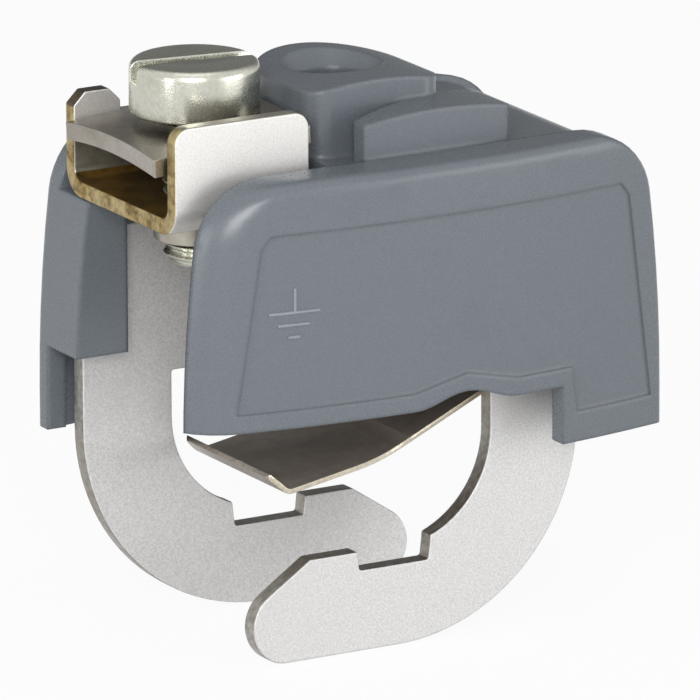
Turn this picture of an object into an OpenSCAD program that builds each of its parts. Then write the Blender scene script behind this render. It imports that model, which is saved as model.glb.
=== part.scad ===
// Earthing pipe clamp: a moulded cap over a folded hook bracket, a screw terminal and a spring leaf.
// X runs across the pipe, Y along it and Z up. The origin is the centre of the largest pipe in its seat.
// Cap flanks and hooks repeat under a half turn about Z, so the clamp twists on to the pipe.

/* [Pipe and hooks] */
// Diameter of the largest pipe
pipe_d = 16; // [12:0.5:18]
// Width of the hook plate around the pipe
hook_w = 7.85; // [6:0.05:9]
// Thickness of the bracket steel
hook_t = 1.5; // [1:0.1:2]
// Width over both hook plates
bracket_w = 17.1; // [16:0.1:19]
// Shift of each hook's arc to its own side
hook_shift = 1.45; // [0.5:0.05:2]
// Depth of the grip notch below the seat
notch_depth = 1.4; // [0.5:0.1:2]
// Shift of the cap and terminal from the pipe's middle
cap_shift = 2.1; // [0:0.1:2.5]
// Height of the bridge top above the pipe axis
bridge_z = 18.65; // [18:0.05:22]

/* [Spring leaf] */
// Thickness of the spring steel
leaf_t = 0.4; // [0.3:0.05:0.6]
// Gap between the leaf and each hook plate
leaf_gap = 0.15; // [0.1:0.05:2]
// Slope of the leaf where the pipe meets it, in degrees
leaf_slope = 24.5; // [18:0.5:28]
// Length of the turned-up lip
lip_len = 1.6; // [1:0.1:2.5]

/* [Terminal] */
// Distance of the terminal screw from the pipe's middle
screw_x = 11.4; // [11.3:0.1:12]
// Thickness of the cage steel
cage_t = 1.3; // [1:0.1:1.6]
// Length of the cage walls
cage_len = 11.6; // [10:0.1:13]
// Height of the front cage wall above the cage's underside
cage_h = 8.55; // [7.5:0.05:10]
// Screw thread diameter
screw_d = 5; // [4:0.5:5]
// Screw head diameter
head_d = 10; // [8:0.5:11]
// Screw head height
head_h = 4.1; // [3:0.1:4.5]
// Width of the screwdriver slot
slot_w = 1.4; // [1:0.1:1.8]
// Thickness of the saddle
saddle_t = 1.4; // [1:0.1:1.6]
// Length of the saddle
saddle_len = 13.6; // [12:0.1:14]
// Tilt of the loose saddle on its screw, in degrees
saddle_tilt = 4; // [0:0.5:5]

/* [Cap] */
// Wall thickness of the moulding
wall = 1.6; // [1.2:0.1:1.8]
// Thickness of the deck over the cage tongue
deck_t = 3.25; // [2.5:0.05:4]
// Length of the cap beyond the arm that lies nearest its end
leg_wall = 1.35; // [1.2:0.05:2.5]
// Radius of the curved end walls seen from the front
side_r = 111; // [90:1:200]
// How far the flanks bulge at the middle
bulge = 1.7; // [0.8:0.1:2.5]
// Depth of each flank outside the bracket
flank_d = 3.95; // [3.5:0.05:5]
// Radius of the top corners seen from the front
top_r = 5; // [3:0.1:6]
// Height of the flanks' lower edge above the pipe axis
skirt_z = 4.1; // [3.5:0.1:5.5]
// Width of each leg
leg_w = 9.9; // [8:0.05:11]
// Height of the step block above the flanks
step_h = 3.3; // [2:0.1:4]
// Height of the boss above the flanks
boss_h = 5; // [3.5:0.1:6]
// Width of the boss
boss_w = 11.6; // [10:0.1:13]
// Diameter of the hole in the boss
boss_hole_d = 6; // [5.6:0.1:7]
// Depth of the marking panels in the flanks
panel_d = 0.2; // [0.1:0.05:0.4]

/* [Rivet] */
// Diameter of the rivet's shank
rivet_d = 3.2; // [2.5:0.1:4]
// Diameter of the rivet's head
rivet_head_d = 5.2; // [4.4:0.1:5.4]

/* [Hidden] */
$fn = 96;
fit = 0.05;
play = 0.1;
far = 60;

// Hooks
seat_r = pipe_d / 2 + 0.15;
hook_r = seat_r + hook_w;
plate_out = bracket_w / 2;
plate_in = plate_out - hook_t;
arm_in = hook_shift + seat_r;
arm_out = hook_shift + hook_r;
bridge_low = bridge_z - hook_t;
arm_top = bridge_z - 2.75;
web_h = 9.55;
web_low = bridge_z - web_h;
web_x = 7.9;
arm_lean = 9.1;
lean_z = 6;
shoulder_w = 2.6;
shoulder_z = seat_r - 4.45;
bend_r = 2;
tip_r = 3;
tip_reach = 12.8;
nose_drop = 0.1;
notch_left = 3.7;
notch_right = 2.9;
notch_taper = 0.26;

// Cage and saddle
cage_low = bridge_z;
floor_top = cage_low + cage_t;
cage_left = -screw_x - 6.5;
cage_right = cage_left + cage_len;
cage_bend = 2.2;
rear_drop = 2.4;
ear_w = 4.1;
ear_drop = 0.5;
ear_cut = 1;
corner_r = 1.3;
tongue_w = 11;
collar_r = screw_d / 2 + 0.7;
collar_h = 2.45;
channel_w = bracket_w - 2 * cage_t;
saddle_w = channel_w - 0.7;
saddle_arch = 0.5;
head_low = cage_low + cage_h - 1.1;
saddle_top = head_low - 0.1 - tan(saddle_tilt) * head_d / 2;
screw_low = cage_low - 4.45;
slot_depth = 1.6;
slot_turn = -9;
head_edge = 0.7;

// Cap
tongue_right = 6.7;
deck_low = floor_top;
top_z = deck_low + deck_t;
flank_in = plate_out + 1.7;
cap_y = plate_out + flank_d;
cap_x = arm_out + cap_shift + leg_wall;
side_z = 2.6;
chord = cap_x - 2.75;
bow_r = (chord * chord + bulge * bulge) / (2 * bulge);
bow_y = bow_r - cap_y - bulge;
round_r = 5;
sharp_r = 0.8;
crest_r = 1;
leg_low = -0.5;
leg_left = cap_x - leg_w;
leg_clear = 6.2;
skirt_arch = 1.05;
skirt_mid = 2.2;
skirt_half = 4.6;
deck_dip = 0.5;
rib_in = 5.5;
rib_lap = 1.05;
rib_x = arm_out - rib_lap;
rib_low = leg_clear;
rib_top = cage_low - 0.15;
step_left = -4.5;
step_right = 8.3;
step_back = 3.9;
step_arch_r = 36;
boss_arch_r = 30;
boss_x = -1.2;
boss_y = 0.6;
boss_front = 7.2;
boss_corner = 1.8;
boss_mouth_d = 8.2;
boss_mouth_h = 1.2;
boss_crown = 0.2;
rivet_seat = top_z - 1.7;
opening_x = boss_x - boss_w / 2 + 0.1;
rivet_x = boss_x + cap_shift;
saddle_mid = rivet_x - boss_w / 2 - 0.35 - saddle_len / 2;

// Leaf and rivet
leaf_top = bridge_low;
leaf_bend = 1.6;
leaf_sweep = 6.5;
leaf_back = 15.1;
leaf_tail = -2.9;
leaf_w = 2 * (plate_in - leaf_gap);
root_gap = 1.05;
leaf_root_w = bracket_w - 2 * (bend_r + root_gap);
sweep_z = 9.15;
knee_len = 9.7;
knee_r = 15;
flat_len = 5.8;
flat_slope = 10;
heel_r = 0.9;
lip_slope = -43;
rivet_r = rivet_d / 2;
rivet_head_h = 1.1;
rivet_tail_d = 4.6;
rivet_tail_h = 0.9;
rivet_dome_r = 4;

// Half width of the cap at a height, with its rounded top corner
function half_x(z, s) = cap_x - s - sag(z) - drop(z, top_z - s, top_r);
// How far the curved end wall has turned in at a height
function sag(z) = z < side_z ? 0 : side_r - sqrt(side_r * side_r - pow(z - side_z, 2));
// How far a rounded edge of radius r under the height top has turned in
function drop(z, top, r) = z < top - r ? 0 : r - sqrt(max(0, r * r - pow(z - top + r, 2)));
// Depth of the bulged flank at a place across the cap
function bow(x, s) = sqrt(pow(bow_r - s, 2) - x * x) - bow_y;

// One corner of the plan outline: an arc that ends square to the bulged face
function corner_arc(h, in, r, s, side) =
    let (x = h - r * (1 - h / bow_r), t = asin(x / (bow_r - s)))
    let (c = [x - r * sin(t), -bow(x, s) + in + r * cos(t)])
    [for (k = [0:6]) let (a = (90 - t) * k / 6) [side * (c[0] + r * cos(a)), c[1] - r * sin(a)]];

// Front half of the plan outline, from the rounded corner to the sharp one
function front_line(h, in, s) =
    let (left = corner_arc(h, in, round_r - s, s, -1))
    let (right = corner_arc(h, in, max(0.3, sharp_r - s), s, 1))
    let (a = left[6][0], b = right[6][0])
    concat(left, [for (k = [1:11]) let (x = a + (b - a) * k / 12) [x, -bow(x, s) + in]],
        [for (k = [6:-1:0]) right[k]]);

// Whole outline: the front line and its half turn
function plan_line(z, s) =
    let (f = front_line(half_x(z, s), drop(z, top_z - s, crest_r), s))
    concat([for (p = f) [p[0], p[1], z]], [for (p = f) [-p[0], -p[1], z]]);

// Outer form of the cap, set in by s on every side
module cap_form(s) {
    top = top_z - s;
    shoulder = top - top_r;
    levels = concat([leg_low], [for (k = [0:4]) side_z + (shoulder - side_z) * k / 5],
        [for (a = [0:9:90]) shoulder + top_r * sin(a)]);
    rings = [for (z = levels) plan_line(z, s)];
    n = len(rings[0]);
    last = len(rings) - 1;
    points = [for (ring = rings) for (p = ring) p];
    sides = [for (i = [0:last - 1]) for (k = [0:n - 1]) let (m = (k + 1) % n)
        each [[i * n + k, (i + 1) * n + k, (i + 1) * n + m], [i * n + k, (i + 1) * n + m, i * n + m]]];
    ends = [[for (k = [0:n - 1]) k], [for (k = [n - 1:-1:0]) last * n + k]];
    polyhedron(points, concat(ends, sides));
}

// A flat outline in X and Z, as a plate from the height y towards the front
module plate(y, t) {
    translate([0, y, 0]) rotate([90, 0, 0]) linear_extrude(t) children();
}

// The same shape and its half turn about Z
module both() {
    children();
    rotate([0, 0, 180]) children();
}

// Square with round corners of radius r, from low to high
module round_square(low, high, r) {
    size = high - low;
    translate(low + [r, 0]) square([size[0] - 2 * r, size[1]]);
    translate(low + [0, r]) square([size[0], size[1] - 2 * r]);
    for (x = [low[0] + r, high[0] - r], y = [low[1] + r, high[1] - r]) translate([x, y]) circle(r);
}

// Space under the front flank, up to its gently arched lower edge
module skirt_cut() {
    steps = 12;
    arch = [for (k = [0:steps]) let (u = k / steps)
        [skirt_mid + skirt_half * (2 * u - 1), skirt_z + skirt_arch * (1 - cos(360 * u)) / 2]];
    plate(0, far) polygon(concat([[-far, leg_low - 1], [-far, skirt_z]], arch, [[leg_left, skirt_z],
        [leg_left, leg_low - 1]]));
}

// Rib inside a leg, beside the outer edge of the hook's arm
module leg_rib() {
    translate([rib_x, -cap_y, rib_low]) cube([cap_x - rib_x, cap_y - rib_in, rib_top - rib_low]);
}

// Room for the two arms, with a little play
module arm_slots() {
    edge = arm_out + play;
    high = arm_top + play;
    translate([-cap_shift, 0, 0]) both() plate(-plate_in + play, hook_t + 2 * play)
        polygon([[0, leg_low - 1], [edge, leg_low - 1], [edge, lean_z],
            [edge - (high - lean_z) * tan(arm_lean), high], [0, high]]);
}

// Outline of the shallow panel on a flank
module panel_line() {
    low = skirt_z + 1.4;
    foot = low - 3.6;
    high = top_z - 4;
    left = 3.8 - cap_x;
    right = cap_x - 1.2;
    polygon([[left, low], [left + 2, high - 1], [left + 2.8, high], [right - 3, high],
        [right - 2.2, high - 1], [right, foot], [leg_left + 1.4, foot], [leg_left + 0.9, low],
        [skirt_mid + skirt_half, low], [skirt_mid, low + skirt_arch], [skirt_mid - skirt_half, low]]);
}

module step_block() {
    intersection() {
        translate([0, 0, top_z - 2]) linear_extrude(far) difference() {
            intersection() {
                round_square([step_left, -cap_y - bulge], [step_right, -boss_front + 2], crest_r);
                translate([0, bow_y]) circle(bow_r - step_back, $fn = 360);
            }
            // The back runs in to the boss at a slant on the left
            polygon([[step_left - 1, -boss_front - 1.6], [step_left + 6.5, 1 - boss_front],
                [step_left + 6.5, 0], [step_left - 1, 0]]);
        }
        translate([(step_left + step_right) / 2, 0, top_z + step_h - step_arch_r])
            rotate([90, 0, 0]) cylinder(r = step_arch_r, h = far, center = true, $fn = 360);
    }
}

module boss() {
    r = boss_w / 2;
    intersection() {
        translate([boss_x, boss_y, deck_low + 1]) linear_extrude(far) {
            circle(r);
            round_square([-r, -boss_front], [r, boss_corner], boss_corner);
        }
        translate([boss_x, 0, top_z + boss_h + boss_crown - boss_arch_r])
            rotate([90, 0, 0]) cylinder(r = boss_arch_r, h = far, center = true, $fn = 360);
    }
}

module boss_hole() {
    translate([boss_x, boss_y, rivet_seat]) cylinder(d = boss_hole_d, h = far);
    translate([boss_x, boss_y, top_z + boss_h - boss_mouth_h])
        cylinder(d1 = boss_hole_d, d2 = boss_mouth_d, h = boss_mouth_h + boss_crown + 0.01);
    translate([boss_x, boss_y, 0]) cylinder(r = rivet_r + fit, h = far);
}

module cap() {
    color([0.44, 0.47, 0.52]) translate([cap_shift, 0, 0]) difference() {
        union() {
            difference() {
                cap_form(0);
                // Hollow of the shell and the open end over the terminal
                intersection() {
                    cap_form(wall);
                    translate([-far, -far, -far]) cube([2 * far, 2 * far, far + deck_low]);
                }
                translate([-far, -flank_in, -far]) cube([far + opening_x, 2 * flank_in, 2 * far]);
                both() skirt_cut();
                // The deck lies a little below the flanks and runs over the closed end
                difference() {
                    translate([opening_x - 1, -flank_in, leg_low]) cube([far, 2 * flank_in, far]);
                    cap_form(deck_dip);
                }
                both() difference() {
                    plate(0, far) panel_line();
                    cap_form(panel_d);
                }
                translate([-far, -flank_in, -far]) cube([2 * far, 2 * flank_in, far + leg_clear]);
            }
            intersection() {
                leg_rib();
                cap_form(deck_dip);
            }
            // The rib at the open end is flush with the flank's end
            intersection() {
                rotate([0, 0, 180]) leg_rib();
                cap_form(0);
            }
            step_block();
            boss();
        }
        boss_hole();
        arm_slots();
    }
}

// Hook, arm and web of one side, seen from the front
module hook_outline() {
    difference() {
        hook_blank();
        // The arm's outer edge leans in under the cap's curved end wall
        polygon([[arm_out, lean_z], [arm_out - (far - lean_z) * tan(arm_lean), far], [far, far],
            [far, lean_z]]);
    }
}

module hook_blank() {
    // Slant of the nose: a tangent from the nose to the round tip
    nose = [-notch_left - 4.1, -seat_r + nose_drop];
    tip = [tip_r - tip_reach, tip_r - hook_r];
    d = nose - tip;
    a = atan2(d[1], d[0]) + acos(tip_r / norm(d));
    translate([hook_shift, 0]) difference() {
        union() {
            difference() {
                circle(hook_r, $fn = 180);
                translate([-hook_r, 0]) square(2 * hook_r);
                translate([-far, -far]) square([far, 2 * far]);
            }
            translate([seat_r, -fit]) square([hook_w, arm_top - tip_r + fit]);
            translate([seat_r - 1, arm_top - 2 * tip_r]) square([hook_w + 1 - tip_r, 2 * tip_r]);
            translate([hook_r - tip_r, arm_top - tip_r]) circle(tip_r);
            translate(tip) circle(tip_r);
            polygon([[0, tip[1] - tip_r], [tip[0], tip[1] - tip_r], tip, tip + tip_r * [cos(a), sin(a)],
                nose, [0, nose[1]]]);
        }
        circle(seat_r, $fn = 180);
        polygon([[notch_right, nose_drop - seat_r + 1], [notch_right - notch_taper, -seat_r - notch_depth],
            [notch_taper - notch_left, -seat_r - notch_depth], [-notch_left, nose_drop - seat_r + 1]]);
    }
    translate([-web_x, web_low]) square([web_x + arm_in + 1, arm_top - web_low]);
    translate([arm_in - shoulder_w, shoulder_z]) square([shoulder_w + 1, web_low - shoulder_z + 1]);
}

// Cross-section of a folded channel with its walls upward, from its underside
module channel_line(w, h, t, r) {
    difference() {
        union() {
            round_square([-w / 2, 0], [w / 2, 3 * r], r);
            translate([-w / 2, r]) square([w, h - r]);
        }
        round_square([t - w / 2, t], [w / 2 - t, t + 3 * r], r - t);
        translate([t - w / 2, r]) square([w - 2 * t, h]);
    }
}

module hook_bracket() {
    color([0.78, 0.78, 0.76]) difference() {
        union() {
            both() plate(-plate_in, hook_t) hook_outline();
            translate([-web_x, 0, bridge_z]) rotate([90, 0, 90]) linear_extrude(2 * web_x)
                mirror([0, 1]) channel_line(bracket_w, bridge_z - web_low, hook_t, bend_r);
        }
        translate([rivet_x, boss_y, 0]) cylinder(r = rivet_r + fit, h = far);
    }
}

// Walls of the cage seen from the front: plain at the front, with an ear at the rear
module front_wall_line() {
    round_square([cage_left, cage_low - 3 * corner_r], [cage_right, cage_low + cage_h], corner_r);
}

module rear_wall_line() {
    top = cage_low + cage_h - ear_drop;
    low = cage_low + cage_h - rear_drop;
    polygon([[cage_left, cage_low - 1], [cage_left, top - ear_cut], [cage_left + ear_cut, top],
        [cage_left + ear_w - ear_cut, top], [cage_left + ear_w, top - ear_cut], [cage_left + ear_w, low],
        [cage_right, low], [cage_right, cage_low - 1]]);
}

module terminal_cage() {
    color([0.76, 0.72, 0.6]) difference() {
        union() {
            intersection() {
                translate([cage_left, 0, cage_low]) rotate([90, 0, 90]) linear_extrude(cage_len)
                    channel_line(bracket_w, cage_h, cage_t, cage_bend);
                union() {
                    plate(0, far) front_wall_line();
                    plate(far, far) rear_wall_line();
                }
            }
            translate([cage_right - 1, -tongue_w / 2, cage_low])
                cube([tongue_right - cage_right + 1, tongue_w, cage_t]);
            translate([-screw_x, 0, cage_low - collar_h]) cylinder(r = collar_r, h = collar_h + cage_t / 2);
        }
        translate([-screw_x, 0, cage_low - far / 2]) cylinder(r = screw_d / 2 + fit, h = far);
        translate([rivet_x, boss_y, 0]) cylinder(r = rivet_r + fit, h = far);
    }
}

// The saddle is a plate bent to a shallow arch across the cage, loose on its screw
module saddle() {
    arch_r = (pow(saddle_w / 2, 2) + pow(saddle_arch, 2)) / (2 * saddle_arch);
    color([0.74, 0.74, 0.72]) difference() {
        translate([-screw_x, 0, saddle_top]) rotate([0, -saddle_tilt, 0]) intersection() {
            translate([saddle_mid + screw_x, 0, -arch_r]) rotate([0, 90, 0])
                linear_extrude(saddle_len, center = true) difference() {
                    circle(arch_r, $fn = 360);
                    circle(arch_r - saddle_t, $fn = 360);
                }
            translate([-far, -saddle_w / 2, -far / 4]) cube([2 * far, saddle_w, far]);
        }
        translate([-screw_x, 0, 0]) cylinder(r = screw_d / 2 + 0.4, h = far);
    }
}

module terminal_screw() {
    head_top = head_low + head_h;
    point = 0.6;
    color([0.72, 0.72, 0.68]) translate([-screw_x, 0, 0]) difference() {
        union() {
            translate([0, 0, head_low]) rotate_extrude() {
                square([head_d / 2 - head_edge, head_h]);
                square([head_d / 2, head_h - head_edge]);
                translate([head_d / 2 - head_edge, head_h - head_edge]) circle(head_edge, $fn = 48);
            }
            translate([0, 0, screw_low + point]) cylinder(d = screw_d, h = head_low - screw_low);
            translate([0, 0, screw_low]) cylinder(d1 = screw_d - 2 * point, d2 = screw_d, h = point);
        }
        rotate([0, 0, slot_turn]) translate([-head_d, -slot_w / 2, head_top - slot_depth])
            cube([2 * head_d, slot_w, far]);
    }
}

// Points along an arc from heading a to heading b, turning left about centre c
function bend_line(c, r, a, b, n) =
    [for (k = [0:n]) let (h = a + (b - a) * k / n) c + r * [sin(h), -cos(h)]];

// Middle line of the leaf, from the tail under the bridge round the hairpin to the lip
function leaf_line() =
    let (mid = leaf_top - leaf_t / 2, top_c = [leaf_back - leaf_bend, mid - leaf_bend])
    let (s = leaf_slope, ground = flat_slope, lip = lip_slope, sweep_c = [leaf_back - leaf_sweep, sweep_z])
    let (low = sweep_c + leaf_sweep * [sin(s), -cos(s)])
    let (knee = low - knee_len * [cos(s), sin(s)], knee_c = knee + knee_r * [-sin(s), cos(s)])
    let (flat = knee_c + knee_r * [sin(ground), -cos(ground)])
    let (heel = flat - flat_len * [cos(ground), sin(ground)])
    let (heel_c = heel + heel_r * [-sin(ground), cos(ground)])
    let (foot = heel_c + heel_r * [sin(lip), -cos(lip)])
    concat([foot - lip_len * [cos(lip), sin(lip)]], bend_line(heel_c, heel_r, lip, ground, 8),
        bend_line(knee_c, knee_r, ground, s, 6), bend_line(sweep_c, leaf_sweep, s, 90, 14),
        bend_line(top_c, leaf_bend, 90, 180, 12), [[leaf_tail, mid]]);

// Place of the lip's edge across the pipe
lip_x = leaf_line()[0][0] - leaf_t / 2;

// Direction of the line at one of its points, as the mean of its two neighbours
function heading(line, k) =
    let (a = line[max(0, k - 1)], b = line[min(len(line) - 1, k + 1)], d = b - a) d / norm(d);

module leaf_section() {
    line = leaf_line();
    n = len(line);
    side = [for (k = [0:n - 1]) let (h = heading(line, k)) [-h[1], h[0]] * leaf_t / 2];
    polygon(concat([for (k = [0:n - 1]) line[k] + side[k]], [for (k = [n - 1:-1:0]) line[k] - side[k]]));
}

module pressure_leaf() {
    root_x = leaf_back - 2 * leaf_bend;
    color([0.4, 0.36, 0.32]) difference() {
        plate(leaf_w / 2, leaf_w) leaf_section();
        // The root is narrower, clear of the bracket's inner bends
        for (side = [0, 1]) mirror([0, side, 0])
            translate([root_x - far, leaf_root_w / 2, leaf_top - 2]) cube([far, far, far]);
        // Round corners at the lip
        difference() {
            translate([lip_x + 2 * corner_r - far, -far / 2, -far / 2]) cube(far);
            translate([0, 0, -far / 2]) linear_extrude(far)
                round_square([lip_x, -leaf_w / 2], [leaf_back, leaf_w / 2], corner_r);
        }
        translate([rivet_x, boss_y, 0]) cylinder(r = rivet_r + play, h = far);
    }
}

module centre_rivet() {
    under = leaf_top - leaf_t - 0.02;
    color([0.7, 0.7, 0.7]) translate([rivet_x, boss_y, 0]) {
        translate([0, 0, under]) cylinder(r = rivet_r, h = rivet_seat - under);
        translate([0, 0, rivet_seat]) intersection() {
            cylinder(d = rivet_head_d, h = rivet_head_h);
            translate([0, 0, rivet_head_h - rivet_dome_r]) sphere(rivet_dome_r);
        }
        translate([0, 0, under - rivet_tail_h]) cylinder(d = rivet_tail_d, h = rivet_tail_h);
    }
}

cap();
hook_bracket();
terminal_cage();
saddle();
terminal_screw();
pressure_leaf();
centre_rivet();
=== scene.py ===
# %% [markdown]
# # An earthing pipe clamp
# A folded steel bracket with two hooks grips a water pipe, a spring leaf presses the pipe into
# them, and a moulded cap carries an open screw terminal for the earth wire. The CAD solids are the
# frame: they give every place and size in metres. This lesson dresses them with softened edges, a
# screw thread, a moulded earth sign and finishes made of nodes.

# %% Load the frame
import math

import bmesh
import bpy
from mathutils import Matrix, Quaternion, Vector


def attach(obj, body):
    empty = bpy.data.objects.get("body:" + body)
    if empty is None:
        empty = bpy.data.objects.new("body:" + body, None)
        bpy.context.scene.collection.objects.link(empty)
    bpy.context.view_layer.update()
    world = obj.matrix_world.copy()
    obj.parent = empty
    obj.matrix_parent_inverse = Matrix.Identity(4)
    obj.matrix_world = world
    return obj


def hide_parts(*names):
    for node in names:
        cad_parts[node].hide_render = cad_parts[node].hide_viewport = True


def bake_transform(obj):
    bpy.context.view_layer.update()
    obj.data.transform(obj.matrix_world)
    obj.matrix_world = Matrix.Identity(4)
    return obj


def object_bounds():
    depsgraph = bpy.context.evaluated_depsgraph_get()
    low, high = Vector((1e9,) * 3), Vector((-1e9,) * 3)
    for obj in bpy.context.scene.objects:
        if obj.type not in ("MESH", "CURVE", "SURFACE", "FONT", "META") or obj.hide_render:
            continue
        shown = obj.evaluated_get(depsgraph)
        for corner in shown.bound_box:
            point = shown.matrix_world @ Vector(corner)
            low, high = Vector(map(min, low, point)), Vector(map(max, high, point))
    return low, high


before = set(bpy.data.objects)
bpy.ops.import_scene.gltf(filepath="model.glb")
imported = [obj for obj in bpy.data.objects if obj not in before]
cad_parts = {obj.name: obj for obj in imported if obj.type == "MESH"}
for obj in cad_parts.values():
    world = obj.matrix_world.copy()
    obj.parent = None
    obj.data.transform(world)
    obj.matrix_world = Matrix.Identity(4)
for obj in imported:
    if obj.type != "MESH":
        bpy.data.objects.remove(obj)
cad_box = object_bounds()
print("CAD box in mm:", [[round(v * 1000, 2) for v in corner] for corner in cad_box])

# %% [markdown]
# ## Camera
# The photograph was taken with a long lens from the left and a little above, so its parallel edges
# stay almost parallel. A long lens far away does the same here. The image shows 53.85 mm across its
# width.

# %% Place the camera
mm = 0.001


def add_object(name, data):
    """A new object in the scene that shows the data."""
    obj = bpy.data.objects.new(name, data)
    bpy.context.collection.objects.link(obj)
    return obj


azimuth, elevation, roll = math.radians(-30), math.radians(15.3), math.radians(-0.2)
image_width, lens, sensor = 53.85 * mm, 600, 36
right = Vector((math.cos(azimuth), math.sin(azimuth), 0))
back = Vector((math.sin(azimuth) * math.cos(elevation), -math.cos(azimuth) * math.cos(elevation),
               math.sin(elevation)))
up = back.cross(right)
aim_right, aim_up = 1.85, 5.43
target = right * aim_right * mm + up * aim_up * mm
camera_data = bpy.data.cameras.new("photo_camera")
camera_data.lens, camera_data.sensor_width = lens, sensor
camera_data.clip_start, camera_data.clip_end = 0.05, 20
camera = add_object("photo_camera", camera_data)
camera.location = target + back * (image_width * lens / sensor)
camera.rotation_mode = "QUATERNION"
camera.rotation_quaternion = (-back).to_track_quat("-Z", "Y")
camera.rotation_quaternion = camera.rotation_quaternion @ Quaternion((0, 0, 1), roll)
bpy.context.scene.camera = camera
print("camera is", round((camera.location - target).length, 3), "m away")

# %% [markdown]
# ## Softened edges
# No real edge is razor sharp: moulded plastic has small radii and stamped steel is tumbled. The CAD
# solids stay crisp, so a merged copy of each one gets a narrow bevel. The copy stands where the
# node stands and replaces it.

# %% A helper that copies a node and softens its edges
def plain_mesh(obj):
    """The object's mesh with its modifiers carried out."""
    graph = bpy.context.evaluated_depsgraph_get()
    mesh = bpy.data.meshes.new_from_object(obj.evaluated_get(graph))
    obj.modifiers.clear()
    obj.data = mesh
    return mesh


def softened(node, name, width, segments=2, limit=32, flat=0.6, split=None):
    """A copy of a CAD node with doubles merged and every sharp edge bevelled. Faces that meet at
    less than flat degrees are joined, and edges sharper than limit degrees get the bevel. Split is
    a height in mm at which the faces are parted, so that each side can have its own finish."""
    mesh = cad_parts[node].data.copy()
    mesh.name = name
    mesh.materials.clear()
    obj = add_object(name, mesh)
    shape = bmesh.new()
    shape.from_mesh(mesh)
    bmesh.ops.remove_doubles(shape, verts=shape.verts, dist=2e-6)
    bmesh.ops.dissolve_limit(shape, angle_limit=math.radians(flat), verts=shape.verts,
                             edges=shape.edges)
    if split:
        everything = shape.verts[:] + shape.edges[:] + shape.faces[:]
        bmesh.ops.bisect_plane(shape, geom=everything, plane_co=(0, 0, split * mm),
                               plane_no=(0, 0, 1), dist=1e-7)
    shape.to_mesh(mesh)
    shape.free()
    bevel = obj.modifiers.new("soft_edges", "BEVEL")
    bevel.limit_method, bevel.angle_limit = "ANGLE", math.radians(limit)
    bevel.width, bevel.segments = width * mm, segments
    bevel.miter_outer = "MITER_ARC"
    bevel.use_clamp_overlap = True
    mesh = plain_mesh(obj)
    mesh.shade_smooth()
    mesh.set_sharp_from_angle(angle=math.radians(40))
    even = obj.modifiers.new("even_shading", "WEIGHTED_NORMAL")
    even.keep_sharp = True
    mesh = plain_mesh(obj)
    print(name, "has", len(mesh.polygons), "faces")
    return obj


# %% Make the softened pieces
ear_foot = 24.2  # height at which the cage's rear wall narrows to its ear
cap = softened("cap", "cap_moulding", 0.35, segments=3)
bracket = softened("hook_bracket", "bracket_plate", 0.16)
cage = softened("terminal_cage", "cage_plate", 0.16, split=ear_foot)
saddle = softened("saddle", "saddle_plate", 0.2)
leaf = softened("pressure_leaf", "leaf_strip", 0.07)
rivet = softened("centre_rivet", "rivet_domed", 0.1)

# %% [markdown]
# ## Terminal screw
# A cheese-head screw is turned on a lathe, so its outline is spun round its axis. The slot is then
# cut across the head. The thread is a helix, which is a job for Geometry Nodes: a spiral carries a
# small triangle.

# %% Spin the head and shank
screw_axis = Vector((-11.4, 0, 0)) * mm
head_low, head_top, shank_low = 26.1, 30.2, 14.2
head_r, head_round, core_r, thread_r = 5.0, 0.75, 2.12, 2.5
slot_w, slot_depth, slot_turn = 1.4, 1.6, math.radians(-9)
outline = [(0, shank_low), (1.7, shank_low), (core_r, shank_low + 0.45), (core_r, head_low),
           (head_r - 0.15, head_low), (head_r, head_low + 0.15), (head_r, head_top - head_round)]
outline += [(head_r - head_round * (1 - math.cos(a)), head_top - head_round * (1 - math.sin(a)))
            for a in [math.radians(d) for d in range(15, 91, 15)]]
outline += [(0, head_top)]


def object_from(shape, name):
    """A new object from a bmesh, which is freed."""
    mesh = bpy.data.meshes.new(name)
    shape.to_mesh(mesh)
    shape.free()
    return add_object(name, mesh)


def spun(outline, name, steps=96):
    """A closed shape made by spinning an outline of (radius, height) pairs in mm round Z."""
    shape = bmesh.new()
    rings = []
    for radius, height in outline:
        count = 1 if radius == 0 else steps
        turns = [2 * math.pi * k / count for k in range(count)]
        rings.append([shape.verts.new((radius * mm * math.cos(t), radius * mm * math.sin(t),
                                       height * mm)) for t in turns])
    for low, high in zip(rings, rings[1:]):
        for k in range(steps):
            m = (k + 1) % steps
            corners = [low[k % len(low)], low[m % len(low)], high[m % len(high)],
                       high[k % len(high)]]
            shape.faces.new(list(dict.fromkeys(corners)))
    bmesh.ops.recalc_face_normals(shape, faces=shape.faces)
    return object_from(shape, name)


screw = spun(outline, "screw_turned")
print("screw head is", 2 * head_r, "mm wide and", round(head_top - head_low, 2), "mm high")

# %% Cut the slot
def block(low, high, name):
    """A box between two corners in mm."""
    shape = bmesh.new()
    bmesh.ops.create_cube(shape, size=1)
    low, high = Vector(low) * mm, Vector(high) * mm
    for v in shape.verts:
        v.co = Vector([low[i] if v.co[i] < 0 else high[i] for i in range(3)])
    return object_from(shape, name)


cutter = block((-8, -slot_w / 2, head_top - slot_depth), (8, slot_w / 2, head_top + 1),
               "slot_cutter")
cutter.data.transform(Matrix.Rotation(slot_turn, 4, "Z"))
cut = screw.modifiers.new("slot", "BOOLEAN")
cut.operation, cut.object, cut.solver = "DIFFERENCE", cutter, "EXACT"
ease = screw.modifiers.new("worn_edges", "BEVEL")
ease.limit_method, ease.angle_limit = "ANGLE", math.radians(40)
ease.width, ease.segments = 0.12 * mm, 2
plain_mesh(screw)
bpy.data.objects.remove(cutter)
print("slotted screw has", len(screw.data.polygons), "faces")

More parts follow.
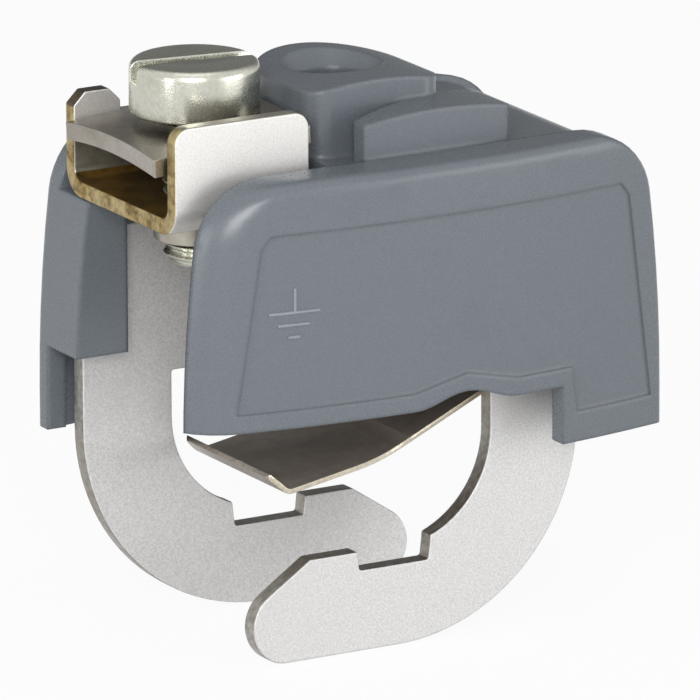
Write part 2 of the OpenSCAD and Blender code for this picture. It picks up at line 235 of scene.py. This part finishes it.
# %% [markdown]
# The thread ridge is a diamond carried along a spiral. Its inner half sinks into the shank, so only
# the sharp outer half shows. The tree ends in Realize Instances and Set Material, and its result is
# baked to a mesh.

# %% A small kit for node trees
def new_tree(name, inputs):
    """A geometry tree with named number inputs and one mesh output."""
    tree = bpy.data.node_groups.new(name, "GeometryNodeTree")
    tree.interface.new_socket("Geometry", in_out="INPUT", socket_type="NodeSocketGeometry")
    for label, kind in inputs:
        tree.interface.new_socket(label, in_out="INPUT", socket_type=kind)
    tree.interface.new_socket("Geometry", in_out="OUTPUT", socket_type="NodeSocketGeometry")
    return tree, tree.nodes.new("NodeGroupInput"), tree.nodes.new("NodeGroupOutput")


def node(tree, kind, links=None, **settings):
    """Adds a node, sets its properties and fills its inputs with values or with links from other
    sockets."""
    made = tree.nodes.new(kind)
    for key, value in settings.items():
        setattr(made, key, value)
    for key, value in (links or {}).items():
        if isinstance(value, bpy.types.NodeSocket):
            tree.links.new(value, made.inputs[key])
        else:
            made.inputs[key].default_value = value
    return made


def set_inputs(modifier, tree, values):
    """Sets the modifier's inputs by their identifiers."""
    ids = {item.name: item.identifier for item in tree.interface.items_tree
           if item.item_type == "SOCKET" and item.in_out == "INPUT"}
    for label, value in values.items():
        modifier[ids[label]] = value


# %% The thread tree
thread_tree, given, result = new_tree("screw_thread", [
    ("Radius", "NodeSocketFloat"), ("Depth", "NodeSocketFloat"), ("Turns", "NodeSocketFloat"),
    ("Length", "NodeSocketFloat"), ("Start", "NodeSocketFloat"), ("Finish", "NodeSocketMaterial")])
spiral = node(thread_tree, "GeometryNodeCurveSpiral", {
    "Resolution": 48, "Rotations": given.outputs["Turns"], "Start Radius": given.outputs["Radius"],
    "End Radius": given.outputs["Radius"], "Height": given.outputs["Length"]})
lift = node(thread_tree, "ShaderNodeCombineXYZ", {"Z": given.outputs["Start"]})
placed = node(thread_tree, "GeometryNodeSetPosition", {"Geometry": spiral.outputs["Curve"],
                                                       "Offset": lift.outputs[0]})
level = node(thread_tree, "GeometryNodeSetCurveNormal", {"Curve": placed.outputs[0]}, mode="Z_UP")
diamond = node(thread_tree, "GeometryNodeCurvePrimitiveCircle",
               {"Resolution": 4, "Radius": given.outputs["Depth"]})
ridge = node(thread_tree, "GeometryNodeCurveToMesh", {
    "Curve": level.outputs[0], "Profile Curve": diamond.outputs["Curve"], "Fill Caps": True})
whole = node(thread_tree, "GeometryNodeJoinGeometry")
thread_tree.links.new(given.outputs["Geometry"], whole.inputs[0])
thread_tree.links.new(ridge.outputs[0], whole.inputs[0])
solid = node(thread_tree, "GeometryNodeRealizeInstances", {"Geometry": whole.outputs[0]})
finished = node(thread_tree, "GeometryNodeSetMaterial", {
    "Geometry": solid.outputs[0], "Material": given.outputs["Finish"]})
thread_tree.links.new(finished.outputs[0], result.inputs["Geometry"])
print("thread tree has", len(thread_tree.nodes), "nodes")

# %% [markdown]
# ## Finishes
# Effects that several finishes share are node groups: a fine speckle for blasted and plated metal
# and moulded grain, broad patches for tarnish and handling, and stretched lines for brushed metal.
# Each finish keeps its own Principled shader and sets its plain numbers there.

# %% Shared effects
def new_effect(name, inputs, outputs):
    """A shader group with number inputs and outputs, fed by the piece's own Object coordinates."""
    tree = bpy.data.node_groups.new(name, "ShaderNodeTree")
    for label, value in inputs:
        socket = tree.interface.new_socket(label, in_out="INPUT", socket_type="NodeSocketFloat")
        socket.default_value = value
    for label in outputs:
        tree.interface.new_socket(label, in_out="OUTPUT", socket_type="NodeSocketFloat")
    place = tree.nodes.new("ShaderNodeTexCoord").outputs["Object"]
    return tree, tree.nodes.new("NodeGroupInput"), tree.nodes.new("NodeGroupOutput"), place


speckle, given, result, place = new_effect("fine_speckle", [("Scale", 3000), ("Sharpness", 1)],
                                           ["Speck", "Grain"])
coarse = node(speckle, "ShaderNodeTexNoise", {"Vector": place, "Scale": given.outputs["Scale"],
                                              "Detail": 3})
fine_scale = node(speckle, "ShaderNodeMath", {0: given.outputs["Scale"], 1: 2.7},
                  operation="MULTIPLY")
fine = node(speckle, "ShaderNodeTexNoise", {"Vector": place, "Scale": fine_scale.outputs[0],
                                            "Detail": 2})
centred = node(speckle, "ShaderNodeMath", {0: coarse.outputs["Fac"], 1: 0.5}, operation="SUBTRACT")
spread = node(speckle, "ShaderNodeMath", {0: centred.outputs[0], 1: given.outputs["Sharpness"],
                                          2: 0.5}, operation="MULTIPLY_ADD", use_clamp=True)
speckle.links.new(spread.outputs[0], result.inputs["Speck"])
speckle.links.new(fine.outputs["Fac"], result.inputs["Grain"])

patches, given, result, place = new_effect("broad_patches", [("Scale", 150), ("Cover", 0.5)],
                                           ["Mask"])
cloud = node(patches, "ShaderNodeTexNoise", {"Vector": place, "Scale": given.outputs["Scale"],
                                             "Detail": 5, "Roughness": 0.6})
edge_low = node(patches, "ShaderNodeMath", {0: 0.85, 1: given.outputs["Cover"]},
                operation="SUBTRACT")
edge_high = node(patches, "ShaderNodeMath", {0: edge_low.outputs[0], 1: 0.3}, operation="ADD")
masked = node(patches, "ShaderNodeMapRange", {"Value": cloud.outputs["Fac"],
                                              "From Min": edge_low.outputs[0],
                                              "From Max": edge_high.outputs[0]})
patches.links.new(masked.outputs[0], result.inputs["Mask"])

brushing, given, result, place = new_effect("brushed_lines", [("Across", 300), ("Along", 6000)],
                                            ["Line"])
stretch = node(brushing, "ShaderNodeCombineXYZ", {"X": given.outputs["Across"],
                                                  "Y": given.outputs["Along"],
                                                  "Z": given.outputs["Across"]})
drawn = node(brushing, "ShaderNodeVectorMath", {0: place, 1: stretch.outputs[0]},
             operation="MULTIPLY")
line = node(brushing, "ShaderNodeTexNoise", {"Vector": drawn.outputs[0], "Scale": 1, "Detail": 4})
brushing.links.new(line.outputs["Fac"], result.inputs["Line"])
print("effects:", [tree.name for tree in (speckle, patches, brushing)])


# %% A helper that builds a finish from the effects
def shade(red, green, blue):
    """A colour as seen on screen, 0 to 255, as the linear colour that nodes use."""
    return tuple(((v / 255 + 0.055) / 1.055) ** 2.4 if v > 10 else v / 255 / 12.92
                 for v in (red, green, blue)) + (1,)


def finish(name, light, dark, stain, metallic, smooth, rough, speck=(3000, 2.0), patch=(150, 0.4),
           bump=0.004, lines=None, specular=0.5, soften=0.12):
    """A material: speckle mixes two tones, patches add the stain, and grain or brushing lifts the
    surface by bump in mm and sets its roughness between smooth and rough. The light rounds off
    edges by the radius soften in mm. Speck is the speckle's scale and sharpness, patch the patches'
    scale and cover, and lines the scale across and along."""
    made = bpy.data.materials.new(name)
    made.use_nodes = True
    tree = made.node_tree
    shader = tree.nodes["Principled BSDF"]
    shader.inputs["Metallic"].default_value = metallic
    shader.inputs["Specular IOR Level"].default_value = specular
    fleck = node(tree, "ShaderNodeGroup", node_tree=speckle)
    fleck.inputs["Scale"].default_value, fleck.inputs["Sharpness"].default_value = speck
    broad = node(tree, "ShaderNodeGroup", node_tree=patches)
    broad.inputs["Scale"].default_value, broad.inputs["Cover"].default_value = patch
    tone = node(tree, "ShaderNodeMix", {"Factor": fleck.outputs["Speck"], 6: dark, 7: light},
                data_type="RGBA")
    stained = node(tree, "ShaderNodeMix", {"Factor": broad.outputs["Mask"], 6: tone.outputs[2],
                                           7: stain}, data_type="RGBA")
    tree.links.new(stained.outputs[2], shader.inputs["Base Color"])
    relief = fleck.outputs["Grain"]
    if lines:
        drawn = node(tree, "ShaderNodeGroup", node_tree=brushing)
        drawn.inputs["Across"].default_value, drawn.inputs["Along"].default_value = lines
        relief = drawn.outputs["Line"]
    gloss = node(tree, "ShaderNodeMapRange", {"Value": relief, "From Min": 0.3, "From Max": 0.7,
                                              "To Min": smooth, "To Max": rough})
    tree.links.new(gloss.outputs[0], shader.inputs["Roughness"])
    edge = node(tree, "ShaderNodeBevel", {"Radius": soften * mm}, samples=6)
    lifted = node(tree, "ShaderNodeBump", {"Height": relief, "Strength": 1.0, "Distance": bump * mm,
                                           "Normal": edge.outputs[0]})
    tree.links.new(lifted.outputs[0], shader.inputs["Normal"])
    return made


# %% The finishes
moulding = finish("blue_grey_moulding", shade(105, 111, 117), shade(100, 106, 112),
                  shade(95, 101, 107), metallic=0, smooth=0.22, rough=0.34, speck=(2500, 1.0),
                  patch=(90, 0.25), bump=0.003, specular=0.5, soften=0.5)
plated = finish("blasted_zinc", shade(220, 219, 218), shade(192, 191, 190), shade(208, 204, 200),
                metallic=0.75, smooth=0.5, rough=0.66, speck=(7000, 2.4), patch=(120, 0.3),
                bump=0.01)
sheared = finish("sheared_edge", shade(180, 177, 172), shade(130, 126, 120), shade(140, 133, 122),
                 metallic=1, smooth=0.3, rough=0.5, speck=(1800, 2.5), patch=(300, 0.45), bump=0.02)
cage_skin = finish("cage_zinc", shade(234, 232, 230), shade(212, 210, 206), shade(212, 207, 198),
                   metallic=0.8, smooth=0.42, rough=0.6, speck=(7000, 2.2), patch=(130, 0.3),
                   bump=0.01)
cage_edge = finish("yellow_sheared_edge", shade(170, 146, 88), shade(108, 88, 50),
                   shade(196, 182, 140), metallic=1, smooth=0.3, rough=0.55, speck=(1600, 3.0),
                   patch=(400, 0.45), bump=0.03)
# The floor's olive tint is the plating's own; its darkness is painted shade under the saddle.
cage_floor = finish("olive_floor_painted_shade", shade(112, 88, 38), shade(62, 50, 24),
                    shade(150, 112, 44), metallic=0.6, smooth=0.3, rough=0.5, speck=(2500, 2.0),
                    patch=(260, 0.45), bump=0.012)
ear_edge = finish("brown_ear_edge", shade(104, 92, 78), shade(62, 52, 42), shade(128, 118, 100),
                  metallic=1, smooth=0.3, rough=0.5, speck=(2500, 2.0), patch=(260, 0.4),
                  bump=0.012)
# Darker than the cage's zinc: painted shade on the collar under the bridge and on the inner walls,
# and the greyer cut on the wall's top.
cage_inner = finish("painted_shade_and_edge_zinc", shade(184, 180, 168), shade(156, 151, 138), shade(132, 124, 104),
                    metallic=0.8, smooth=0.28, rough=0.45, speck=(1500, 1.5), patch=(240, 0.4),
                    bump=0.006)
saddle_skin = finish("saddle_zinc", shade(180, 174, 166), shade(154, 148, 140),
                     shade(132, 124, 110), metallic=1, smooth=0.24, rough=0.42, speck=(4000, 1.6),
                     patch=(150, 0.4), bump=0.008)
screw_skin = finish("screw_zinc", shade(212, 212, 200), shade(188, 188, 176), shade(158, 156, 140),
                    metallic=1, smooth=0.18, rough=0.32, speck=(3200, 1.4), patch=(260, 0.3),
                    bump=0.006)
# The slot's near-white, half-metallic finish is a painted highlight.
slot_highlight_skin = finish("slot_painted_highlight", shade(250, 250, 246), shade(222, 222, 216), shade(235, 235, 228),
                   metallic=0.3, smooth=0.4, rough=0.6, speck=(4000, 2.5), patch=(400, 0.3),
                   bump=0.01)
spring_steel = finish("dark_spring_steel", shade(178, 167, 157), shade(150, 140, 131),
                      shade(126, 116, 107), metallic=0.5, smooth=0.34, rough=0.5, speck=(1500, 1.5),
                      patch=(120, 0.45), bump=0.004, lines=(7000, 300))
# The earth sign's lighter moulding is a painted highlight on the raised strokes.
sign_highlight_skin = finish("sign_painted_highlight", shade(142, 148, 154), shade(134, 140, 146),
                   shade(128, 134, 140), metallic=0, smooth=0.3, rough=0.4, bump=0.002, soften=0.04)
lip_skin = finish("grey_leaf_lip", shade(176, 168, 158), shade(140, 132, 122), shade(120, 112, 100),
                  metallic=1, smooth=0.25, rough=0.4, bump=0.006)
spring_edge = finish("bright_leaf_edge", shade(214, 206, 190), shade(176, 168, 150),
                     shade(196, 186, 164), metallic=1, smooth=0.25, rough=0.45, bump=0.01)
rivet_skin = finish("rivet_zinc", shade(178, 178, 174), shade(150, 150, 146), shade(110, 106, 98),
                    metallic=1, smooth=0.28, rough=0.45)
print("finishes:", len([m for m in bpy.data.materials if m.use_nodes]))

# %% [markdown]
# ## Which face gets which finish
# Stamped parts show two skins: the plated sheet, and the cut edge that the shears left rougher and
# darker. Each face knows its direction and place, so a small rule for each piece sorts its faces.

# %% Sort faces to finishes
def dress(obj, skins, rule):
    """Gives the piece its finishes, and each face the one that its rule picks by centre and
    direction."""
    obj.data.materials.clear()
    for skin in skins:
        obj.data.materials.append(skin)
    for face in obj.data.polygons:
        face.material_index = rule(face.center / mm, face.normal)
    counts = [sum(f.material_index == k for f in obj.data.polygons) for k in range(len(skins))]
    print(obj.name, "faces by finish:", counts)


def bracket_rule(place, way):
    """Plated on the flat sheet, sheared where the face looks along the sheet's plane below the
    bends."""
    plated_sheet, cut_side = range(2)
    bend_low = 15.1
    return cut_side if abs(way.y) < 0.5 and place.z < bend_low else plated_sheet


def cage_rule(place, way):
    """Brown on the ear's rim, yellowish on the other cut edges, olive with painted shade on the
    channel's floor, darker zinc as painted shade on the collar and the inner walls, greyer on the
    wall's top, zinc elsewhere."""
    zinc, yellow, olive, brown, shade_and_edge = range(5)
    walls_right, collar_top, wall_inside = -6.2, 18.6, 7.4
    if place.x > walls_right:
        return zinc
    if place.z < collar_top:
        return shade_and_edge
    if abs(way.x) > 0.6 or (way.z > 0.6 and place.z > 23.5):
        if place.y > 0 and place.z > 24.9:
            return brown
        return yellow if abs(way.x) > 0.4 else shade_and_edge
    if abs(place.y) > wall_inside:
        return zinc
    if way.z > 0.35 and place.z < 21:
        return olive
    return zinc if place.z > ear_foot else shade_and_edge


def leaf_rule(place, way):
    """Bright on the slit sides, grey on the outside of the lip, dark on the rest."""
    dark, bright, grey = range(3)
    lip_start = -6.9
    if abs(way.y) > 0.6:
        return bright
    return grey if place.x < lip_start and way.x < -0.3 else dark


def screw_rule(place, way):
    """Bright in the slot as a painted highlight, and zinc elsewhere."""
    zinc, bright = range(2)
    across = place.y * math.cos(slot_turn) - place.x * math.sin(slot_turn)
    side, low, high = slot_w / 2 + 0.08, head_top - slot_depth - 0.1, head_top - 0.02
    in_slot = abs(across) < side and low < place.z < high
    return bright if in_slot else zinc


def single(place, way):
    """One finish all over."""
    return 0


dress(cap, [moulding], single)
dress(bracket, [plated, sheared], bracket_rule)
dress(cage, [cage_skin, cage_edge, cage_floor, ear_edge, cage_inner], cage_rule)
dress(saddle, [saddle_skin], single)
dress(leaf, [spring_steel, spring_edge, lip_skin], leaf_rule)
dress(rivet, [rivet_skin], single)
dress(screw, [screw_skin, slot_highlight_skin], screw_rule)

# %% [markdown]
# The leaf bows as a pipe presses it, and its free end lags behind. It is parted across its straight
# stretch into a root and a free end, and both cut ends are closed.

# %% Part the leaf
def parted(obj, name, cut_x, below):
    """Moves what lies left of cut_x and lower than below, both in mm, to a closed piece of its
    own."""
    tip = add_object(name, obj.data.copy())
    for piece, outer in ((obj, False), (tip, True)):
        shape = bmesh.new()
        shape.from_mesh(piece.data)
        everything = shape.verts[:] + shape.edges[:] + shape.faces[:]
        bmesh.ops.bisect_plane(shape, geom=everything, plane_co=(cut_x * mm, 0, 0),
                               plane_no=(1, 0, 0), dist=1e-7)
        centres = {f: f.calc_center_median() for f in shape.faces}
        other = [f for f, c in centres.items() if (c.x < cut_x * mm and c.z < below * mm) != outer]
        bmesh.ops.delete(shape, geom=other, context="FACES")
        bmesh.ops.holes_fill(shape, edges=[e for e in shape.edges if e.is_boundary])
        bmesh.ops.recalc_face_normals(shape, faces=shape.faces)
        shape.to_mesh(piece.data)
        shape.free()
        piece.data.set_sharp_from_angle(angle=math.radians(40))
        print(piece.name, "has", len(piece.data.polygons), "faces")
    return tip


leaf_tip = parted(leaf, "leaf_free_end", cut_x=3.5, below=10)

# %% Thread the screw and finish it
thread = screw.modifiers.new("thread", "NODES")
thread.node_group = thread_tree
pitch, ridge_depth = 0.8, 0.34
thread_start = shank_low + 0.5
thread_length = head_low - 0.3 - thread_start
set_inputs(thread, thread_tree, {"Radius": (thread_r - ridge_depth) * mm, "Depth": ridge_depth * mm,
                                 "Turns": thread_length / pitch, "Length": thread_length * mm,
                                 "Start": thread_start * mm, "Finish": screw_skin})
plain_mesh(screw)
screw.data.transform(Matrix.Translation(screw_axis))
screw.data.shade_smooth()
screw.data.set_sharp_from_angle(angle=math.radians(35))
print("screw with thread has", len(screw.data.polygons), "faces and",
      round(thread_length / pitch, 1), "turns")

# %% [markdown]
# ## The earth sign
# The flank carries the general sign for earth, moulded as thin raised strokes. The strokes are
# drawn as a few edges on the bulged flank, and a node tree turns each edge into a round bead that
# is half sunk in the surface.

# %% Draw the strokes on the flank
# The bulged flank is an arc seen from above. These are its radius, the depth of its middle, how
# deep the panel is sunk and how far the cap is shifted, in mm and as in the CAD.
flank_radius, flank_middle, panel_depth, cap_shift = 97.73, 83.53, 0.2, 2.1


def on_flank(x, z):
    """A point on the front flank's shallow panel."""
    depth = math.sqrt((flank_radius - panel_depth) ** 2 - x * x) - flank_middle
    return Vector((x + cap_shift, -depth, z)) * mm


strokes = [((-12.35, 15.0), (-12.35, 13.1)), ((-14.5, 13.1), (-10.35, 13.1)),
           ((-13.75, 12.15), (-11.2, 12.15)), ((-12.95, 11.2), (-11.95, 11.2))]
parts, stroke_r = 6, 0.13
drawing = bpy.data.meshes.new("earth_sign")
points, edges = [], []
for (x0, z0), (x1, z1) in strokes:
    first = len(points)
    points += [on_flank(x0 + (x1 - x0) * k / parts, z0 + (z1 - z0) * k / parts)
               for k in range(parts + 1)]
    edges += [(first + k, first + k + 1) for k in range(parts)]
drawing.from_pydata(points, edges, [])
sign = add_object("earth_sign", drawing)
print("sign has", len(strokes), "strokes")

# %% The bead tree
bead_tree, given, result = new_tree("raised_bead", [("Radius", "NodeSocketFloat"),
                                                    ("Finish", "NodeSocketMaterial")])
path = node(bead_tree, "GeometryNodeMeshToCurve", {"Mesh": given.outputs["Geometry"]})
ring = node(bead_tree, "GeometryNodeCurvePrimitiveCircle", {"Resolution": 10,
                                                            "Radius": given.outputs["Radius"]})
bead = node(bead_tree, "GeometryNodeCurveToMesh", {"Curve": path.outputs[0],
                                                   "Profile Curve": ring.outputs["Curve"],
                                                   "Fill Caps": True})
solid = node(bead_tree, "GeometryNodeRealizeInstances", {"Geometry": bead.outputs[0]})
finished = node(bead_tree, "GeometryNodeSetMaterial", {"Geometry": solid.outputs[0],
                                                       "Material": given.outputs["Finish"]})
bead_tree.links.new(finished.outputs[0], result.inputs["Geometry"])
beads = sign.modifiers.new("beads", "NODES")
beads.node_group = bead_tree
set_inputs(beads, bead_tree, {"Radius": stroke_r * mm, "Finish": sign_highlight_skin})
plain_mesh(sign)
sign.data.shade_smooth()
print("sign has", len(sign.data.polygons), "faces")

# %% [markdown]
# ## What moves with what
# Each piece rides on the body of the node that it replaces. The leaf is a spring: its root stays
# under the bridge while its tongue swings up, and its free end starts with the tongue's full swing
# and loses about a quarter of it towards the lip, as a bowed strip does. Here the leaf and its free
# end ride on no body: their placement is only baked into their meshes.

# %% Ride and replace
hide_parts("cap")
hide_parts("hook_bracket")
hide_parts("terminal_cage")
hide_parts("centre_rivet")
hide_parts("saddle")
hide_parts("terminal_screw")
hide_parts("pressure_leaf")
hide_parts("pressure_leaf")
for piece, body, slot in [(cap, "base", "moulding"), (sign, "base", "moulding"),
                          (bracket, "base", "bracket_steel"), (cage, "base", "cage_steel"),
                          (rivet, "base", "rivet_steel"), (saddle, "saddle", "saddle_steel"),
                          (screw, "screw", "screw_steel")]:
    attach(piece, body)
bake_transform(leaf)
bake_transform(leaf_tip)

# %% [markdown]
# ## Floor and light
# The object stands on its hooks on a white floor. The camera sees the floor almost as plain white,
# while light still falls on it, so a soft shadow stays. Large soft lamps from the upper left and
# from the right shape the bulged flank, and a narrow one draws the thin highlight along the
# moulding's corner.

# %% Floor
floor_z = cad_box[0].z - 0.01 * mm
reach = 3
paper_share = 0.93  # how white the camera and reflections see the floor
corners = [(x * reach, y * reach, floor_z) for x, y in [(-1, -1), (1, -1), (1, 1), (-1, 1)]]
floor_mesh = bpy.data.meshes.new("floor")
floor_mesh.from_pydata(corners, [], [(0, 1, 2, 3)])
floor = add_object("floor", floor_mesh)
paper = bpy.data.materials.new("white_paper")
paper.use_nodes = True
tree = paper.node_tree
shader = tree.nodes["Principled BSDF"]
shader.inputs["Base Color"].default_value = (0.85, 0.85, 0.85, 1)
shader.inputs["Roughness"].default_value = 0.9
glow = node(tree, "ShaderNodeEmission", {"Color": (1, 1, 1, 1), "Strength": 1.0})
rays = node(tree, "ShaderNodeLightPath")
seen = node(tree, "ShaderNodeMath", {0: rays.outputs["Is Camera Ray"],
                                     1: rays.outputs["Is Glossy Ray"]}, operation="MAXIMUM")
seen = node(tree, "ShaderNodeMath", {0: seen.outputs[0], 1: rays.outputs["Is Transmission Ray"]},
            operation="MAXIMUM")
share = node(tree, "ShaderNodeMath", {0: seen.outputs[0], 1: paper_share}, operation="MULTIPLY")
mixed = node(tree, "ShaderNodeMixShader", {0: share.outputs[0], 1: shader.outputs[0],
                                           2: glow.outputs[0]})
# From below the floor is clear, so that the clamp's underside can be looked at
side = node(tree, "ShaderNodeNewGeometry")
clear = node(tree, "ShaderNodeBsdfTransparent")
mixed = node(tree, "ShaderNodeMixShader", {0: side.outputs["Backfacing"], 1: mixed.outputs[0],
                                           2: clear.outputs[0]})
tree.links.new(mixed.outputs[0], tree.nodes["Material Output"].inputs["Surface"])
floor_mesh.materials.append(paper)
print("floor at", round(floor_z / mm, 2), "mm")

# %% World and lamps
world = bpy.data.worlds.new("studio")
bpy.context.scene.world = world
world.use_nodes = True
tree = world.node_tree
soft = tree.nodes["Background"]
soft.inputs["Color"].default_value, soft.inputs["Strength"].default_value = (0.97, 0.98, 1, 1), 0.44
white = node(tree, "ShaderNodeBackground", {"Color": (1, 1, 1, 1), "Strength": 1.0})
# Glossy rays see the same white room, with a grey card high up behind the object
card_way, card_edge, card_middle, card_grey = (0.46, 0.8, 0.39), -0.55, -0.9, 0.22
way = node(tree, "ShaderNodeNewGeometry")
toward = node(tree, "ShaderNodeVectorMath", {0: way.outputs["Incoming"], 1: card_way},
              operation="DOT_PRODUCT")
card = node(tree, "ShaderNodeMapRange", {"Value": toward.outputs["Value"], "From Min": card_middle,
                                         "From Max": card_edge, "To Min": card_grey, "To Max": 1.0})
room = node(tree, "ShaderNodeBackground", {"Color": (1, 1, 1, 1), "Strength": card.outputs[0]})
rays = node(tree, "ShaderNodeLightPath")
shiny = node(tree, "ShaderNodeMath", {0: rays.outputs["Is Glossy Ray"],
                                      1: rays.outputs["Is Transmission Ray"]}, operation="MAXIMUM")
lit = node(tree, "ShaderNodeMixShader", {0: shiny.outputs[0], 1: soft.outputs[0],
                                         2: room.outputs[0]})
mixed = node(tree, "ShaderNodeMixShader", {0: rays.outputs["Is Camera Ray"], 1: lit.outputs[0],
                                           2: white.outputs[0]})
tree.links.new(mixed.outputs[0], tree.nodes["World Output"].inputs["Surface"])


def lamp(name, place, size, power, aim=(0, 0, 6)):
    """A rectangular soft lamp, with its place, size and aim in mm and its power in watts."""
    data = bpy.data.lights.new(name, "AREA")
    data.shape, data.size, data.size_y, data.energy = "RECTANGLE", size[0] * mm, size[1] * mm, power
    obj = add_object(name, data)
    obj.location = Vector(place) * mm
    obj.rotation_euler = (Vector(aim) - Vector(place)).to_track_quat("-Z", "Y").to_euler()


lamp("key", (-190, -270, 150), (160, 160), 0.72)
lamp("fill", (220, -260, 60), (240, 200), 0.34)
lamp("top", (-40, -40, 320), (200, 200), 0.06)
lamp("corner_strip", (-330, -90, 30), (24, 260), 0.2)
bpy.context.scene.view_settings.view_transform = "Standard"
print("lamps:", len(bpy.data.lights))
